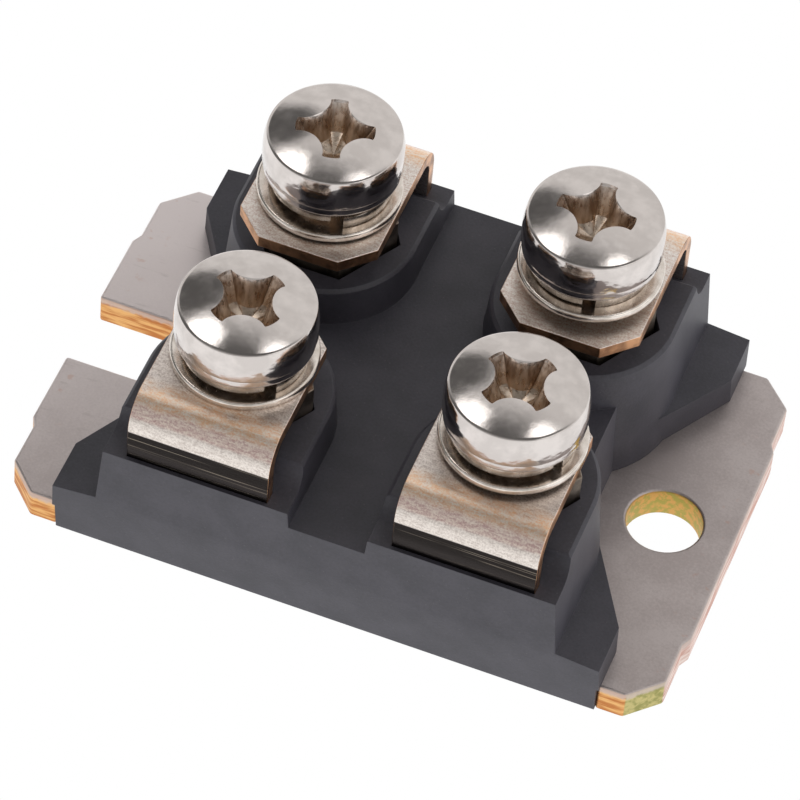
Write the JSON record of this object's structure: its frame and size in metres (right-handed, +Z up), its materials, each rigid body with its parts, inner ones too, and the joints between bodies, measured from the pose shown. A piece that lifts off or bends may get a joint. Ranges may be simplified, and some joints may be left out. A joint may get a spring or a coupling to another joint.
{
  "type": "power semiconductor module",
  "caption": "Flat isolated power module: metal base plate with a mounting hole and an open slot, dark moulded towers, and bent screw terminals with cross-recess screws.",
  "frame": {"origin": "middle of the underside of the base plate", "axes": "+X towards the round mounting hole, -X towards the open slot, +Z up from the base plate towards the screws"},
  "size_m": [0.0382, 0.0252, 0.0172],
  "materials": {
    "plate": "nickel-plated, matte",
    "moulding": "fine matte moulding compound",
    "terminal": "plated strip, fine grain",
    "fastener": "bright nickel plate",
    "nut": "plated steel, satin",
    "solder": "dull solder",
    "copper": "bare copper",
    "ceramic": "white alumina",
    "silicon": "polished silicon",
    "wire": "drawn aluminium"
  },
  "bodies": {
    "root": {"base_plate": "plate", "substrate_solder": "solder", "dcb_lower_copper": "copper", "dcb_ceramic": "ceramic", "collector_track": "copper", "emitter_track": "copper", "gate_track": "copper", "kelvin_track": "copper", "die_solder": "solder", "igbt_die": "silicon", "gate_wire": "wire", "kelvin_wire": "wire", "emitter_wire_1": "wire", "emitter_wire_2": "wire", "emitter_wire_3": "wire", "emitter_wire_4": "wire", "emitter_wire_5": "wire", "emitter_wire_6": "wire", "terminal_1": "terminal", "terminal_2": "terminal", "terminal_3": "terminal", "terminal_4": "terminal", "terminal_solder_1": "solder", "terminal_solder_2": "solder", "terminal_solder_3": "solder", "terminal_solder_4": "solder", "nut_1": "nut", "nut_2": "nut", "nut_3": "nut", "nut_4": "nut", "screw_1": "fastener", "screw_2": "fastener", "screw_3": "fastener", "screw_4": "fastener", "spring_washer_1": "fastener", "spring_washer_2": "fastener", "spring_washer_3": "fastener", "spring_washer_4": "fastener", "flat_washer_1": "fastener", "flat_washer_2": "fastener", "flat_washer_3": "fastener", "flat_washer_4": "fastener", "housing": "moulding"}
  },
  "joints": []
}
